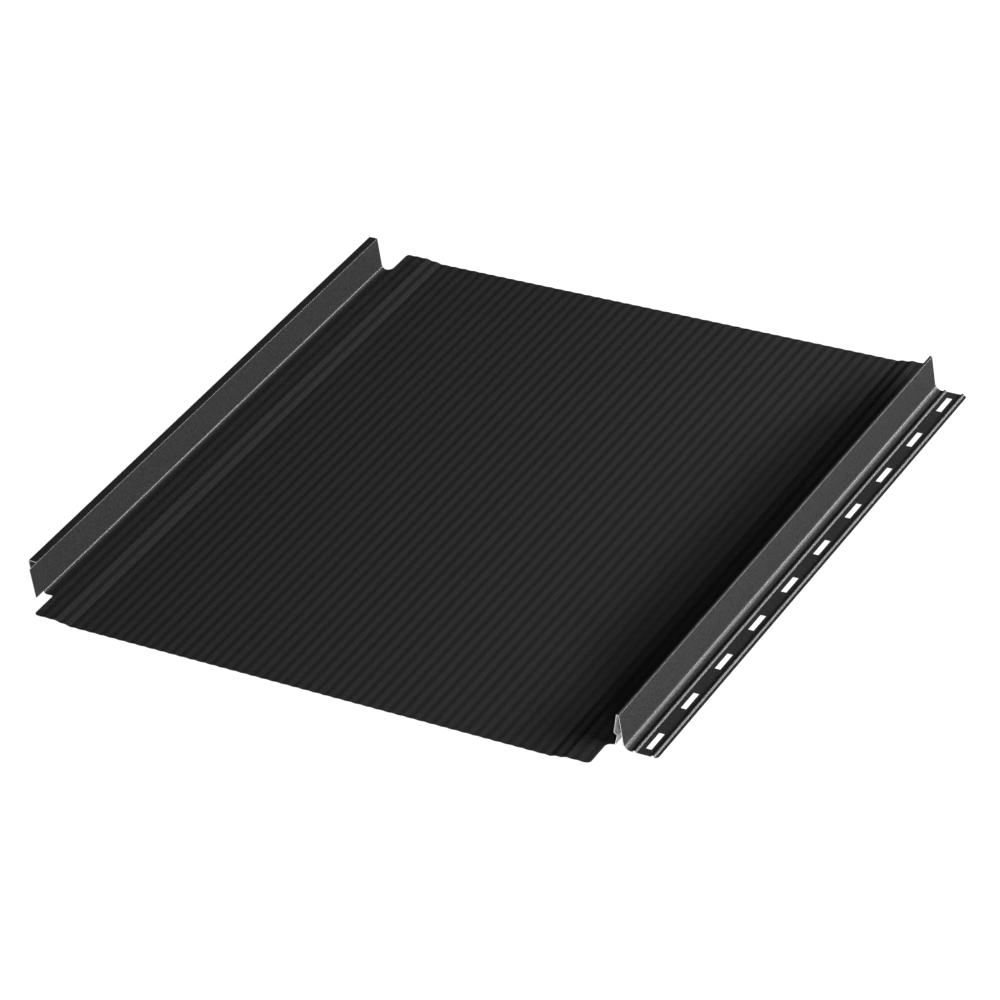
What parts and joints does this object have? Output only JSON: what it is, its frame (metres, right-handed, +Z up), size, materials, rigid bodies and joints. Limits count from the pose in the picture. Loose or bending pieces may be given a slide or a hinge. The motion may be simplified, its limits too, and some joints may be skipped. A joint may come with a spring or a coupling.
{
  "type": "standing seam roof panel",
  "caption": "Self-locking standing seam roof panel of folded coated steel sheet: micro-ribbed pan, hook seam, click rib, slotted nailing flange, notched ends.",
  "frame": {"origin": "middle of the panel's outline, on the level surface that it lies on", "axes": "+X across the panel from the hook seam to the nailing flange, +Y along the seams from the eaves end up the slope, +Z up, away from the roof"},
  "size_m": [0.552, 0.5346, 0.0323],
  "materials": {
    "coated_steel": "fine-grained matt black coating on galvanized steel, light grey backing coat, bright cut edges"
  },
  "bodies": {
    "root": {"roof_panel": "coated_steel"}
  },
  "joints": []
}
